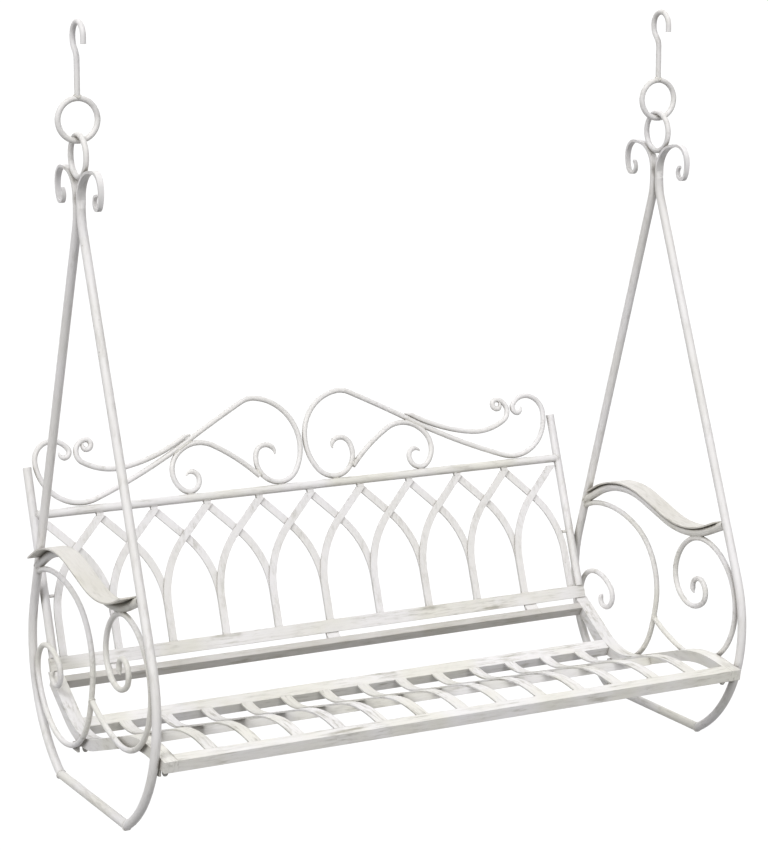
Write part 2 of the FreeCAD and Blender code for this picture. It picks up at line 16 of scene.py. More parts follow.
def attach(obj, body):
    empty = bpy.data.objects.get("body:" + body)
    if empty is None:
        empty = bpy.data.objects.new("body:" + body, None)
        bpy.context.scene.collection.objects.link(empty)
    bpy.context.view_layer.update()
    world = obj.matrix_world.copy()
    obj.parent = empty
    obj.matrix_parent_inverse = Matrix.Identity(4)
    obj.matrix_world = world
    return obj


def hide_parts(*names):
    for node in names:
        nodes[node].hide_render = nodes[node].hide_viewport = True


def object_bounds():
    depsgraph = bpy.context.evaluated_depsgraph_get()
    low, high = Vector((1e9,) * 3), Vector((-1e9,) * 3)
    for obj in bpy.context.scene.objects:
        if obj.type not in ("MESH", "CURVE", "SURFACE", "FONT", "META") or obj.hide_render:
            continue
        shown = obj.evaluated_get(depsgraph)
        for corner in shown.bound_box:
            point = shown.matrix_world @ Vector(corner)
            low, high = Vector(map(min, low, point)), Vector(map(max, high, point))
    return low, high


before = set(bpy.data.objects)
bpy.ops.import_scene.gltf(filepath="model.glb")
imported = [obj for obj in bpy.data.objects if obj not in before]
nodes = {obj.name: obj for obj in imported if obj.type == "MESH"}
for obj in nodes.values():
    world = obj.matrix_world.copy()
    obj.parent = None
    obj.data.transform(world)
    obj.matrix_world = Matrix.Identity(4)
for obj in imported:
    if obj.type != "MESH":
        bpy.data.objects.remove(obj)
cad_low, cad_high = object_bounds()
print("nodes", len(nodes), "box", [round(c, 4) for c in cad_low], [round(c, 4) for c in cad_high])

# %% [markdown]
# The photograph was taken from the left front, above the height of the back, and its uprights stay upright.
# A level camera with a lens shifted far down shows just that, but other views slide out of the picture.
# So the camera is tilted down at the bench, and only a small shift is left.
# The uprights lean by less than a degree for it, and every other view keeps the bench in the picture.

# %% Camera
PICTURE_H = 850
FOCAL_PIXELS = 2577.78
SENSOR_H = 36.0
CAMERA_PLACE = (-2.15302, -4.06179, 1.48202)
CAMERA_TURN = 28.08542
CAMERA_TILT = 8.88569
LENS_SHIFT = -0.10
FAR_CLIP = 600.0

view = bpy.data.cameras.new("view_camera")
view.sensor_fit = "VERTICAL"
view.sensor_height = SENSOR_H
view.lens = FOCAL_PIXELS * SENSOR_H / PICTURE_H
view.shift_y = LENS_SHIFT
view.clip_end = FAR_CLIP
camera = bpy.data.objects.new("view_camera", view)
camera.location = CAMERA_PLACE
camera.rotation_euler = (math.radians(90 - CAMERA_TILT), 0, math.radians(-CAMERA_TURN))
bpy.context.scene.collection.objects.link(camera)
bpy.context.scene.camera = camera
print("lens", round(view.lens, 2), "mm")

# %% [markdown]
# A finish is a web of small nodes, and clicking such webs together by hand is slow to read and to change.
# It could also be typed as long lists of links, but sums are easier to follow as sums.
# So one small class stands for a wire from a socket: adding or multiplying wires adds the nodes that do it.
# Its method add makes any other node from a type, its settings and what goes into its sockets.

# %% Wires for finishes
class Wire:
    """A wire from one output socket of a finish."""

    def __init__(self, tree, socket=None):
        self.tree = tree
        self.socket = socket

    def add(self, kind, settings=None, sockets=None, out=0):
        """Adds a node, its settings first, then the values or wires of its sockets."""
        made = self.tree.nodes.new(kind)
        for key, value in (settings or {}).items():
            setattr(made, key, value)
        for key, value in (sockets or {}).items():
            if isinstance(value, Wire):
                value.feed(made.inputs[key])
            else:
                made.inputs[key].default_value = value
        return Wire(self.tree, made.outputs[out])

    def feed(self, socket):
        """Leads this wire into a socket."""
        self.tree.links.new(self.socket, socket)

    def sum(self, work, first, second):
        """One step of maths: plain values by Math, vectors by Vector Math."""
        kinds = [w.socket.type for w in (first, second) if isinstance(w, Wire)]
        if "VECTOR" in kinds:
            terms = [(w,) * 3 if isinstance(w, (int, float)) else w for w in (first, second)]
            return self.add("ShaderNodeVectorMath", {"operation": work}, dict(enumerate(terms)))
        return self.add("ShaderNodeMath", {"operation": work}, {0: first, 1: second})

    def __add__(self, other):
        return self.sum("ADD", self, other)

    def __radd__(self, other):
        return self.sum("ADD", other, self)

    def __sub__(self, other):
        return self.sum("SUBTRACT", self, other)

    def __rsub__(self, other):
        return self.sum("SUBTRACT", other, self)

    def __mul__(self, other):
        return self.sum("MULTIPLY", self, other)

    def __rmul__(self, other):
        return self.sum("MULTIPLY", other, self)

    def most(self, other):
        """The larger of two values."""
        return self.sum("MAXIMUM", self, other)

    def rise(self, low, high):
        """Mask that rises softly from 0 at low to 1 at high."""
        ends = {"Value": self, "From Min": low, "From Max": high}
        return self.add("ShaderNodeMapRange", {"interpolation_type": "SMOOTHSTEP"}, ends)

    def mix(self, first, second):
        """Colour that goes from the first to the second where this mask is 1."""
        return self.add("ShaderNodeMix", {"data_type": "RGBA"}, {0: self, 6: first, 7: second}, 2)

    def cloud(self, scale, detail=3.0, rough=0.55):
        """Soft noise over this place."""
        sockets = {"Vector": self, "Scale": scale, "Detail": detail, "Roughness": rough}
        return self.add("ShaderNodeTexNoise", {}, sockets)


def new_finish(name):
    """A new finish, its shader and a first wire in it."""
    finish = bpy.data.materials.new(name)
    finish.use_nodes = True
    return finish, finish.node_tree.nodes["Principled BSDF"], Wire(finish.node_tree)


print("wires ready")

# %% [markdown]
# In a studio picture like this one the floor and the wall melt into one white.
# Brighter lamps would whiten the floor too, but they would burn out the pale paint.
# So the floor and the sky turn white only for the camera and for reflections, and stay softer as lights.
# The bench hangs 30 cm over the floor, which keeps the bench's soft shadow.

# %% Floor and sky
FLOOR_Z = -0.30
FLOOR_REACH = 180.0
FLOOR_CORNERS = ((-1, -1), (1, -1), (1, 1), (-1, 1))
FLOOR_GREY = 0.26
FLOOR_ROUGH = 0.9
FLOOR_LIFT = 0.81
SKY_LIGHT = 0.34
BLACK = (0, 0, 0, 1)
WHITE = (1, 1, 1, 1)


def background_rays(wire):
    """1 for rays that show the background to the eye, straight or in gloss and glass."""
    seen = wire.add("ShaderNodeLightPath", out="Is Camera Ray")
    glossed = wire.add("ShaderNodeLightPath", out="Is Glossy Ray")
    through = wire.add("ShaderNodeLightPath", out="Is Transmission Ray")
    return seen.most(glossed).most(through)


floor_mesh = bpy.data.meshes.new("studio_floor")
floor_spots = [(u * FLOOR_REACH, v * FLOOR_REACH, FLOOR_Z) for u, v in FLOOR_CORNERS]
floor_mesh.from_pydata(floor_spots, [], [(0, 1, 2, 3)])
floor = bpy.data.objects.new("studio_floor", floor_mesh)
bpy.context.scene.collection.objects.link(floor)

floor_paint, floor_shader, floor_wire = new_finish("floor_white")
floor_shader.inputs["Base Color"].default_value = (FLOOR_GREY, FLOOR_GREY, FLOOR_GREY, 1)
floor_shader.inputs["Roughness"].default_value = FLOOR_ROUGH
floor_shader.inputs["Specular IOR Level"].default_value = 0.0
floor_shader.inputs["Emission Strength"].default_value = FLOOR_LIFT
background_rays(floor_wire).mix(BLACK, WHITE).feed(floor_shader.inputs["Emission Color"])
floor_mesh.materials.append(floor_paint)

sky = bpy.data.worlds.new("studio_sky")
bpy.context.scene.world = sky
sky.use_nodes = True
sky_shade = sky.node_tree.nodes["Background"]
sky_shade.inputs["Color"].default_value = WHITE
sky_glow = background_rays(Wire(sky.node_tree)) * (1 - SKY_LIGHT) + SKY_LIGHT
sky_glow.feed(sky_shade.inputs["Strength"])
bpy.context.scene.view_settings.view_transform = "Standard"
print("floor at", FLOOR_Z, "m")

# %% [markdown]
# The photograph's light is soft and comes from high in front: faces that look up are pale, undersides grey.
# The small dark wedges under the seat strips tell of two lamps, one on each side of the camera's line.
# Area lamps would do it near the bench, but they fade over the wide floor and leave a bright pool.
# So soft suns are used: one from the left front, one from the right front,
# and a wide one, low from behind, which keeps the back of the bench from going grey.

# %% Lights
LAMPS = {
    "left_lamp": {"strength": 1.40, "height": 40, "turn": -62, "width": 24},
    "right_lamp": {"strength": 1.20, "height": 44, "turn": -4, "width": 24},
    "rear_lamp": {"strength": 1.20, "height": 22, "turn": 150, "width": 90},
}


def lamp(name, strength, height, turn, width):
    """Soft sun: height over the floor and turn from the front, in degrees."""
    light = bpy.data.lights.new(name, "SUN")
    light.energy = strength
    light.angle = math.radians(width)
    piece = bpy.data.objects.new(name, light)
    piece.rotation_euler = (math.radians(90 - height), 0, math.radians(turn))
    bpy.context.scene.collection.objects.link(piece)


for name, settings in LAMPS.items():
    lamp(name, **settings)
print("lamps", sorted(LAMPS))

# %% [markdown]
# The steel is painted antique white: an off-white coat with a thin grey-beige glaze wiped over it.
# The glaze stays in streaks along each bar and thins out on open faces. In corners and round the welds the
# colour also darkens, partly with dirt and partly as painted shade.
# A painted picture of the wear would need unwrapping sixty pieces,
# so the finish is worked out from each point's place.
# First come the colours, and how strongly each kind of wear shows.

# %% Colours of the paint
CREAM = (0.80, 0.782, 0.722, 1)
CHALK = (0.865, 0.848, 0.848, 1)
GLAZE = (0.44, 0.42, 0.365, 1)
# Dark tone for the specks, and for dirt and painted shade in corners and between bars.
GRIME_AND_SHADE = (0.24, 0.22, 0.185, 1)
GRIME_AND_SHADE_LEFT = 0.75
STREAK_BASE = 0.25
GLAZE_COVER = 0.70
EDGE_COVER = 0.35
SPECK_COVER = 0.30
COAT_SHINE = 0.4
COAT_ROUGH = 0.44
TONE_ROUGH = 0.08
GLAZE_ROUGH = 0.25
GRIME_ROUGH = 0.20
print("strength of glaze", GLAZE_COVER, "edges", EDGE_COVER, "specks", SPECK_COVER)

# %% [markdown]
# The wear has many sizes: broad clouds in the tone, patches of glaze, fine streaks and specks like grains.
# Each could be a painted layer of its own, but then a change of size would mean painting again.
# So each is a noise with a scale, a detail and sometimes a roughness,
# and a span over which its mask rises from nothing to full.

# %% Sizes of the wear
TONE_NOISE = (6.5, 2.0)
TONE_SPAN = (0.38, 0.64)
STREAK_NOISE = (190.0, 5.0, 0.66)
STREAK_SPAN = (0.44, 0.70)
PATCH_NOISE = (15.0, 3.0)
PATCH_SPAN = (0.40, 0.66)
SMEAR_NOISE = (60.0, 4.0, 0.62)
SMEAR_SPAN = (0.54, 0.68)
SPECK_SCALE = 95.0
SPECK_SPAN = (0.10, 0.20)
FIELD_NOISE = (30.0, 2.0)
FIELD_SPAN = (0.60, 0.68)
RUB_NOISE = (60.0, 3.0)
RUB_SPAN = (0.40, 0.60)
EDGE_ROUND = 0.0012
EDGE_SPAN = (0.02, 0.22)
CORNER_REACH = 0.016
CORNER_SPAN = (0.14, 0.55)
LOOKS_AROUND = 4
PEEL_NOISE = (420.0, 2.0)
PEEL_H = 0.35
BRUSH_NOISE = (150.0, 3.0)
BRUSH_H = 0.4
WAVE_NOISE = (45.0, 2.0)
WAVE_H = 0.6
SKIN_STRENGTH = 0.35
SKIN_DEPTH = 0.0008
print("streaks about", round(1000 / STREAK_NOISE[0], 1), "mm wide")

# %% [markdown]
# On the bench, the glaze was brushed on along each bar and wiped off again, and dirt came later.
# The paint is built up in the same order: coat, glaze, worn edges, then a dark tone in corners and specks.
# In corners that tone is partly dirt and partly painted shade: it follows ambient occlusion, which finds
# the shaded corners.
# The streaks are noise stretched along the bar's own direction, and the edges come from a bevel,
# which also rounds the bars' hard edges a little in the light.

# %% Antique white paint
def antique_paint(name, along, glaze, grime_and_shade=GRIME_AND_SHADE_LEFT, chalk=CHALK, cream=CREAM):
    """Antique white: along stretches the streaks, glaze says how much glaze is left, and the next argument
    how strongly dirt and painted shade darken the corners.
    """
    paint, shader, wire = new_finish(name)
    place = wire.add("ShaderNodeTexCoord", out="Object")
    drawn = place * along

    tone = place.cloud(*TONE_NOISE).rise(*TONE_SPAN)
    streaks = drawn.cloud(*STREAK_NOISE).rise(*STREAK_SPAN)
    patches = place.cloud(*PATCH_NOISE).rise(*PATCH_SPAN)
    smears = drawn.cloud(*SMEAR_NOISE).rise(*SMEAR_SPAN)
    wiped = streaks * (STREAK_BASE + (1 - STREAK_BASE) * patches) + smears * patches
    glazed = wiped * (GLAZE_COVER * glaze)

    specks = place.add("ShaderNodeTexVoronoi", {}, {"Vector": place, "Scale": SPECK_SCALE}, "Distance")
    speckled = (1 - specks.rise(*SPECK_SPAN)) * place.cloud(*FIELD_NOISE).rise(*FIELD_SPAN)

    soft_normal = wire.add("ShaderNodeBevel", {"samples": LOOKS_AROUND}, {"Radius": EDGE_ROUND})
    true_normal = wire.add("ShaderNodeNewGeometry", out="Normal")
    facing = wire.add("ShaderNodeVectorMath", {"operation": "DOT_PRODUCT"},
                      {0: soft_normal, 1: true_normal}, "Value")
    edges = (1 - facing).rise(*EDGE_SPAN) * place.cloud(*RUB_NOISE).rise(*RUB_SPAN)
    # Painted shade with dirt: ambient occlusion finds corners and gaps between bars, which are darkened
    # below.
    open_air = wire.add("ShaderNodeAmbientOcclusion", {"samples": LOOKS_AROUND},
                        {"Distance": CORNER_REACH}, "AO")
    corner_dirt_and_shade = (1 - open_air).rise(*CORNER_SPAN)

    coat = tone.mix(cream, chalk)
    coat = glazed.mix(coat, GLAZE)
    coat = (edges * EDGE_COVER).mix(coat, GLAZE)
    # Corners darken towards the dark tone, partly dirt and partly painted shade; the specks are dirt.
    coat = (corner_dirt_and_shade * grime_and_shade + speckled * SPECK_COVER).mix(coat, GRIME_AND_SHADE)
    coat.feed(shader.inputs["Base Color"])

    rough = COAT_ROUGH + tone * TONE_ROUGH + glazed * GLAZE_ROUGH + corner_dirt_and_shade * GRIME_ROUGH
    rough.feed(shader.inputs["Roughness"])

    lumps = place.cloud(*PEEL_NOISE) * PEEL_H + drawn.cloud(*BRUSH_NOISE) * BRUSH_H
    lumps = lumps + place.cloud(*WAVE_NOISE) * WAVE_H
    skin = wire.add("ShaderNodeBump", {}, {"Strength": SKIN_STRENGTH, "Distance": SKIN_DEPTH,
                                           "Height": lumps, "Normal": soft_normal}, "Normal")
    skin.feed(shader.inputs["Normal"])
    shader.inputs["Specular IOR Level"].default_value = COAT_SHINE
    return paint


print("paint ready, corners reach", CORNER_REACH, "m")

# %% [markdown]
# Not every bar has aged alike: the armrests are beige from hands,
# and the legs, arches and crest have stayed cooler and paler than the seat.
# The rear rail and the brackets get a darker copy of the paint, which is painted shade on their shaded
# faces.
# One tone for all would be simpler, but the bench would look as if it came from one spray can.
# So each kind of bar has its own paint, with the streaks along its own direction:
# a small factor in one direction makes the noise long there.

# %% Paints of the bench
HAND_CHALK = (0.76, 0.735, 0.695, 1)
HAND_CREAM = (0.70, 0.675, 0.615, 1)
# Darker colours of the shaded copy: painted shade on the rear rail and the brackets.
SHADE_CHALK = (0.64, 0.62, 0.60, 1)
SHADE_CREAM = (0.56, 0.54, 0.50, 1)
COOL_CHALK = (0.89, 0.872, 0.876, 1)
COOL_CREAM = (0.845, 0.827, 0.808, 1)
PALE_CREAM = (0.84, 0.822, 0.77, 1)
LONG = 0.12
SIDEWAYS = (LONG, 1, 1)
FRONT_TO_BACK = (1, LONG, 0.5)
UPRIGHT = (1, 1, LONG)
LEANING = (1, 0.5, LONG)
BENT = (0.6, 0.6, 0.6)
EVEN = (1, 1, 1)

across_paint = antique_paint("antique_paint_across", SIDEWAYS, glaze=0.95)
# A darker copy of the paint, painted shade for the rear rail and the brackets.
shaded_paint = antique_paint("antique_paint_shaded", SIDEWAYS, glaze=1.1, grime_and_shade=0.7,
                             chalk=SHADE_CHALK, cream=SHADE_CREAM)
strip_paint = antique_paint("antique_paint_strips", FRONT_TO_BACK, glaze=1.2)
tube_paint = antique_paint("antique_paint_tubes", FRONT_TO_BACK, glaze=0.65)
upright_paint = antique_paint("antique_paint_uprights", UPRIGHT, glaze=0.5,
                              chalk=COOL_CHALK, cream=COOL_CREAM)
leg_paint = antique_paint("antique_paint_legs", LEANING, glaze=0.45, chalk=COOL_CHALK, cream=COOL_CREAM)
rod_paint = antique_paint("antique_paint_rods", BENT, glaze=0.48, chalk=COOL_CHALK, cream=PALE_CREAM)
crest_paint = antique_paint("antique_paint_crest", BENT, glaze=0.5, cream=COOL_CREAM)
ring_paint = antique_paint("antique_paint_rings", BENT, glaze=0.4, cream=COOL_CREAM)
arm_paint = antique_paint("antique_paint_armrests", FRONT_TO_BACK, glaze=1.0, grime_and_shade=0.65,
                          chalk=HAND_CHALK, cream=HAND_CREAM)
weld_paint = antique_paint("antique_paint_welds", EVEN, glaze=0.9, grime_and_shade=0.85)
print("paints", sum(m.name.startswith("antique") for m in bpy.data.materials))

# %% [markdown]
# The four seat bolts and their nuts are plated steel that was painted over with the frame and has dulled.
# They could share the frame's paint, but in the photograph the nuts under the front rail read as dark dots.
# So they get their own finish: grey zinc, with the white coat left in patches.

# %% Fastener finish
DARK_ZINC = (0.16, 0.155, 0.145, 1)
LIGHT_ZINC = (0.27, 0.265, 0.25, 1)
BARE_METAL = 0.85
ZINC_ROUGH = 0.42
DULL_ROUGH = 0.18
REST_NOISE = (160.0, 3.0)
REST_SPAN = (0.54, 0.62)
DULL_NOISE = (420.0, 3.0)
DULL_SPAN = (0.35, 0.65)
DULL_H = 0.3
ZINC_STRENGTH = 0.3
ZINC_DEPTH = 0.0003


def dull_zinc(name):
    """Dulled plating with rests of white paint."""
    finish, shader, wire = new_finish(name)
    place = wire.add("ShaderNodeTexCoord", out="Object")
    rests = place.cloud(*REST_NOISE).rise(*REST_SPAN)
    dulled = place.cloud(*DULL_NOISE).rise(*DULL_SPAN)
    rests.mix(dulled.mix(DARK_ZINC, LIGHT_ZINC), CREAM).feed(shader.inputs["Base Color"])
    ((1 - rests) * BARE_METAL).feed(shader.inputs["Metallic"])
    (ZINC_ROUGH + dulled * DULL_ROUGH).feed(shader.inputs["Roughness"])
    lumps = rests + dulled * DULL_H
    skin = wire.add("ShaderNodeBump", {}, {"Strength": ZINC_STRENGTH, "Distance": ZINC_DEPTH,
                                           "Height": lumps}, "Normal")
    skin.feed(shader.inputs["Normal"])
    return finish


zinc = dull_zinc("dull_zinc")
print("finish", zinc.name)

# %% [markdown]
# Each bar now gets the paint whose streaks run along it.
# One paint for all would be simpler, but then the streaks would cross half of the bars, as no rag does.
# So the node's name decides: rails run left to right, strips front to back, posts and legs upright.

# %% Paint every node
def paint_for(name):
    """Paint whose streaks follow the bar."""
    if name in ("seat_bolts", "seat_nuts"):
        return zinc
    # The rear rail and the brackets take the darker copy, which is painted shade.
    if "brackets" in name or name == "seat_rear_rail":
        return shaded_paint
    if "hook" in name or "ring" in name:
        return ring_paint
    if "leg" in name:
        return leg_paint
    if "post" in name or "arches" in name or "tabs" in name:
        return upright_paint
    if "armrest_strip" in name:
        return arm_paint
    if "bottom_bar" in name or "armrest" in name:
        return tube_paint
    if "strip" in name or name in ("seat_left_rail", "seat_right_rail"):
        return strip_paint
    if "crest" in name:
        return crest_paint
    if "rail" in name or "mid_bar" in name or "peg" in name:
        return across_paint
    return rod_paint


painted = {}
for name, piece in nodes.items():
    paint = paint_for(name)
    for holder in piece.material_slots:
        holder.material = paint
    painted[paint.name] = painted.get(paint.name, 0) + 1
print("painted", painted)

# %% [markdown]
# The bars are joined by small welds, painted over with the rest, and each shows as a low lumpy bead.
# Beads could be placed by hand at each joint, but there are about seventy of them.
# So the joints are read from the frame: the faces of one bar that lie on the next one are found,
# and the line round those faces is the seam along which the welder would have gone.

# %% Find the seams
SEAM_PLAY = 0.00035
SAME_POINT = 1e-6


def closed_skin(name):
    """A copy of a node's skin with its doubled corners joined."""
    skin = bmesh.new()
    skin.from_mesh(nodes[name].data)
    bmesh.ops.remove_doubles(skin, verts=skin.verts, dist=SAME_POINT)
    return skin


def ground_of(name):
    """A node's faces, ready for looking up the nearest point."""
    mesh = nodes[name].data
    return BVHTree.FromPolygons([v.co for v in mesh.vertices], [p.vertices for p in mesh.polygons])


def walk(rim):
    """Rim edges put end to end, as lists of points."""
    links = {}
    for edge in rim:
        for v in edge.verts:
            links.setdefault(v, []).append(edge)
    left = set(rim)
    lines = []
    while left:
        ends = [v for v, edges in links.items() if sum(e in left for e in edges) == 1]
        at = ends[0] if ends else next(iter(left)).verts[0]
        line = [at.co.copy()]
        while True:
            onward = [e for e in links[at] if e in left]
            if not onward:
                break
            left.remove(onward[0])
            at = onward[0].other_vert(at)
            line.append(at.co.copy())
        lines.append(line)
    return lines


def seams(name, carrier):
    """Lines round the faces of one node that lie on its carrier."""
    skin = closed_skin(name)
    ground = ground_of(carrier)

    def lies(point):
        return ground.find_nearest(point, SEAM_PLAY)[0] is not None

    fitted = {f for f in skin.faces if lies(f.calc_center_median()) and all(lies(v.co) for v in f.verts)}
    rim = [e for e in skin.edges if len(e.link_faces) == 2 and len(fitted.intersection(e.link_faces)) == 1]
    lines = walk(rim)
    skin.free()
    return lines


for pair in (("left_armrest_tube", "left_front_leg"), ("left_bottom_bar", "left_rear_leg")):
    print("seam", pair, [len(line) for line in seams(*pair)])

# %% [markdown]
# A bead is a thin tube along its seam that swells and thins as the weld pool did, never quite the same.
# A smooth tube would look like piping, so the swells follow the way along the bead and a fixed noise.
# The beads of one part of the bench are made as one piece, which rides on the body that it holds together.

# %% Weld beads
BEAD_STEP = 0.0011
BEAD_SIDES = 7
RIPPLE = 0.0032
LEAST_BEAD = 0.004
LEAST_STEPS = 4
BASE_SWELL = 0.82
RIPPLE_SWELL = 0.20
POOL_SWELL = 0.25
POOL_NOISE = 300
LUMP = 0.15
LUMP_NOISE = 700


def length_of(line):
    """Length of a line of points."""
    return sum((b - a).length for a, b in zip(line, line[1:]))


def stations(line, step):
    """Points at even steps along a line."""
    lengths = [(b - a).length for a, b in zip(line, line[1:])]
    total = sum(lengths)
    count = max(LEAST_STEPS, int(total / step))
    points, k, gone = [], 0, 0.0
    for i in range(count + 1):
        want = total * i / count
        while k < len(lengths) - 1 and gone + lengths[k] < want:
            gone += lengths[k]
            k += 1
        share = (want - gone) / lengths[k] if lengths[k] else 0.0
        points.append(line[k].lerp(line[k + 1], min(1.0, share)))
    return points


def inside(spot):
    """The same spot, or the nearest one in the frame's box."""
    return Vector([min(max(c, low), high) for c, low, high in zip(spot, cad_low, cad_high)])


def bead(work, line, radius):
    """Adds a lumpy bead along a line to a mesh in the making."""
    points = stations(line, BEAD_STEP)
    rings = []
    for i, p in enumerate(points):
        ahead = (points[min(i + 1, len(points) - 1)] - points[max(i - 1, 0)]).normalized()
        aside = ahead.orthogonal().normalized()
        other = ahead.cross(aside)
        ripple = abs(math.sin(math.pi * i * BEAD_STEP / RIPPLE))
        swell = BASE_SWELL + RIPPLE_SWELL * ripple + POOL_SWELL * noise.noise(p * POOL_NOISE)
        ring = []
        for k in range(BEAD_SIDES):
            turn = math.tau * k / BEAD_SIDES
            reach = radius * swell * (1 + LUMP * noise.noise(p * LUMP_NOISE + Vector((k, 0, 0))))
            spot = p + (aside * math.cos(turn) + other * math.sin(turn)) * reach
            ring.append(work.verts.new(inside(spot)))
        rings.append(ring)
    for a, b in zip(rings, rings[1:]):
        shift = min(range(BEAD_SIDES), key=lambda s: (a[0].co - b[s].co).length)
        for k in range(BEAD_SIDES):
            n = (k + 1) % BEAD_SIDES
            work.faces.new((a[k], a[n], b[(n + shift) % BEAD_SIDES], b[(k + shift) % BEAD_SIDES]))
    work.faces.new(rings[0][::-1])
    work.faces.new(rings[-1])


def make_piece(work, name, finish):
    """Turns a mesh in the making into a smooth piece with its finish."""
    bmesh.ops.recalc_face_normals(work, faces=work.faces)
    mesh = bpy.data.meshes.new(name)
    work.to_mesh(mesh)
    work.free()
    mesh.polygons.foreach_set("use_smooth", [True] * len(mesh.polygons))
    mesh.materials.append(finish)
    piece = bpy.data.objects.new(name, mesh)
    bpy.context.scene.collection.objects.link(piece)
    return piece


def weld(name, pairs, radius, body, keep=None):
    """One piece with the beads of many joints; keep picks the runs of a seam that are welded."""
    work = bmesh.new()
    count = 0
    for node, carrier in pairs:
        for line in seams(node, carrier):
            for run in (keep(line) if keep else [line]):
                if length_of(run) > LEAST_BEAD:
                    bead(work, run, radius)
                    count += 1
    piece = make_piece(work, name, weld_paint)
    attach(piece, body)
    print(name, count, "beads", len(piece.data.vertices), "points")


print("bead of", BEAD_SIDES, "sides, a ring every", round(BEAD_STEP * 1000, 2), "mm")

# %% [markdown]
# The side frames carry large welds: armrests and scrolls on the legs, and the mitred corners below.
# The left and right frames are made alike, so one list of joints serves both.
# The hooks' welds have their own pieces, because they stay still with the rings while the bench swings.

# %% Welds of the side frames and hooks
TUBE_BEAD = 0.0016
ROD_BEAD = 0.0018
TUBE_JOINTS = [("armrest_tube", "front_leg"), ("armrest_tube", "rear_leg"),
               ("bottom_bar", "front_leg"), ("bottom_bar", "rear_leg")]
ROD_JOINTS = [("rear_scroll", "rear_leg"), ("rear_scroll", "armrest_tube"),
              ("front_scroll", "armrest_tube"), ("front_scroll", "rear_scroll")]
HOOK_JOINT = [("hook", "hanging_ring")]


def on_hand(hand, joints):
    """Joints with the names of one side of the bench."""
    return [(hand + "_" + a, hand + "_" + b) for a, b in joints]


for hand in ("left", "right"):
    weld(hand + "_frame_welds", on_hand(hand, TUBE_JOINTS), TUBE_BEAD, "bench")
    weld(hand + "_scroll_welds", on_hand(hand, ROD_JOINTS), ROD_BEAD, "bench")
    weld(hand + "_hook_weld", on_hand(hand, HOOK_JOINT), ROD_BEAD, hand + "_hanger")

# %% [markdown]
# In the back, the top rail is welded between the posts, the crest rods lean on the rail and on each other,
# and every flat bar of the arches stands on the bottom rail with a small bead round its foot.
# These joints are found in the same way, with finer beads on the thin bars.

# %% Welds of the back
RAIL_BEAD = 0.0013
FOOT_BEAD = 0.0011
crest_joints = [("crest_left_main_rod", "back_top_rail"), ("crest_right_main_rod", "back_top_rail")]
for hand in ("left", "right"):
    inner = "crest_%s_inner_rod" % hand
    crest_joints += [(inner, "crest_%s_main_rod" % hand), (inner, "back_top_rail")]
weld("crest_welds", crest_joints, ROD_BEAD, "bench")
rail_joints = [("back_top_rail", "back_left_post"), ("back_top_rail", "back_right_post"),
               ("back_arch_tabs", "back_top_rail")]
weld("back_rail_welds", rail_joints, RAIL_BEAD, "bench")
foot_joints = [("back_front_arches", "back_bottom_rail"), ("back_rear_arches", "back_bottom_rail")]
weld("arch_foot_welds", foot_joints, FOOT_BEAD, "bench")

# %% [markdown]
# The seat strips end flush with the front rail, so their welds were ground flat on top.
# Beads all round would spoil the smooth seat, so only the part of each seam under the strip is kept.

# %% Welds under the seat
STRIP_T = 0.003
STRIP_BEAD = 0.0012
FINE_STEP = 0.0006


def under_strip(line):
    """Runs of a seam that lie lower than the strip's top edge."""
    top = max(p.z for p in line)
    runs, run = [], []
    for p in stations(line, FINE_STEP):
        if p.z < top - STRIP_T / 2:
            run.append(p)
        elif run:
            runs.append(run)
            run = []
    return runs + [run] if run else runs


strips = sorted(name for name in nodes if name.startswith("seat_strip"))
strip_joints = [(strip, "seat_front_rail") for strip in strips]
weld("seat_strip_welds", strip_joints, STRIP_BEAD, "bench", under_strip)

# %% [markdown]
# The smith drew each rod's end out thin before curling it, and thinned an end onto the rod that it lies on.
# The rods of the frame end in a plain cut, because such thin tips carry nothing.
# Whole new rods could stand for them, but only the last centimetre or two differs.
# So the flat end discs are looked up in the frame, and a tapering tip is drawn on from each one.

# %% Find the rod ends
FLAT_DOT = 0.9995
DISC_PLAY = 0.12
LEAST_RIM = 8


def middle(points):
    """Middle of some points."""
    points = list(points)
    return sum(points, Vector()) / len(points)


def end_discs(name):
    """Centre, way out, radius and the middle of the ring before, for each flat end of a rod."""
    skin = closed_skin(name)
    skin.normal_update()
    seen, found = set(), []
    for face in skin.faces:
        if face in seen:
            continue
        flat, queue = {face}, [face]
        while queue:
            near = {other for edge in queue.pop().edges for other in edge.link_faces}
            fresh = {other for other in near - flat if other.normal.dot(face.normal) > FLAT_DOT}
            flat |= fresh
            queue += fresh
        seen |= flat
        rim = {v for f in flat for v in f.verts}
        radius = math.sqrt(sum(f.calc_area() for f in flat) / math.pi)
        centre = middle(v.co for v in rim)
        is_round = all(abs((v.co - centre).length - radius) < DISC_PLAY * radius for v in rim)
        if len(rim) >= LEAST_RIM and is_round:
            behind = {e.other_vert(v) for v in rim for e in v.link_edges} - rim
            found.append((centre, face.normal.copy(), radius, middle(v.co for v in behind)))
    skin.free()
    return found


print("rod ends", {name: len(end_discs(name)) for name in nodes if "crest" in name or "scroll" in name})

# %% [markdown]
# A free tip goes on with the bend of the rod's end and curls a little tighter, as thin metal does.
# A tip beside another rod leans onto it instead.
# Both come from one tapering tube that is turned a little at each ring.

# %% Rod tips
TIP_RINGS = 14
TIP_SIDES = 20
TIP_THIN = 0.70
TIP_TAPER = 1.2
TIP_SNUG = 1.01
TIP_END = 0.5
TIP_ROUND = 0.6
TIP_OVERLAP = 0.0008
CURL_BEND = 1 / 0.010
LEAN_BEND = 1 / 0.040
NEAR_ROD = 0.004


